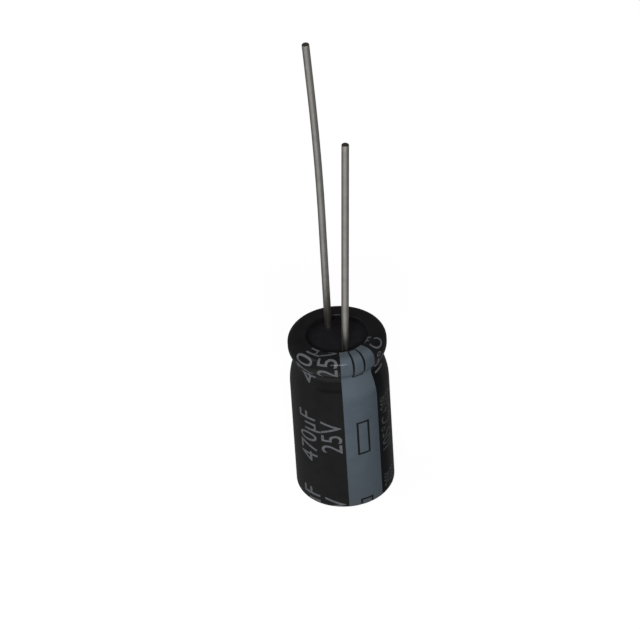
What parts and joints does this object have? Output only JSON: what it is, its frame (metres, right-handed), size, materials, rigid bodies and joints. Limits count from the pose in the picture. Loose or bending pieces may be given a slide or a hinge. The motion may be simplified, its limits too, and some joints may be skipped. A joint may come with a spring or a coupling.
{
  "type": "electrolytic capacitor",
  "caption": "Radial aluminium electrolytic capacitor in a black sleeve with a grey negative stripe, standing on its closed end with one long and one short lead up.",
  "frame": {"origin": "centre of the closed end, on the plane that the case stands on", "axes": "+Z along the case from the closed end to the leads, +X from the middle to the negative (short) lead"},
  "size_m": [0.008, 0.008, 0.0417],
  "materials": {
    "sleeve_film": "glossy black shrink film",
    "stripe_ink": "slate grey print under gloss",
    "can_aluminium": "drawn, satin",
    "seal_rubber": "matt black rubber",
    "tinned_wire": "dull tinned steel",
    "tab_aluminium": "pressed, satin",
    "etched_foil": "etched, dull grey",
    "plain_foil": "foil, satin",
    "separator_paper": "kraft paper, soaked",
    "tape": "thin film tape"
  },
  "bodies": {
    "root": {"sleeve": "sleeve_film", "polarity_stripe": "stripe_ink", "can": "can_aluminium", "rubber_seal": "seal_rubber", "anode_lead": "tinned_wire", "cathode_lead": "tinned_wire", "anode_tab": "tab_aluminium", "cathode_tab": "tab_aluminium", "anode_foil": "etched_foil", "cathode_foil": "plain_foil", "inner_separator": "separator_paper", "outer_separator": "separator_paper", "fixing_tape": "tape"}
  },
  "joints": []
}
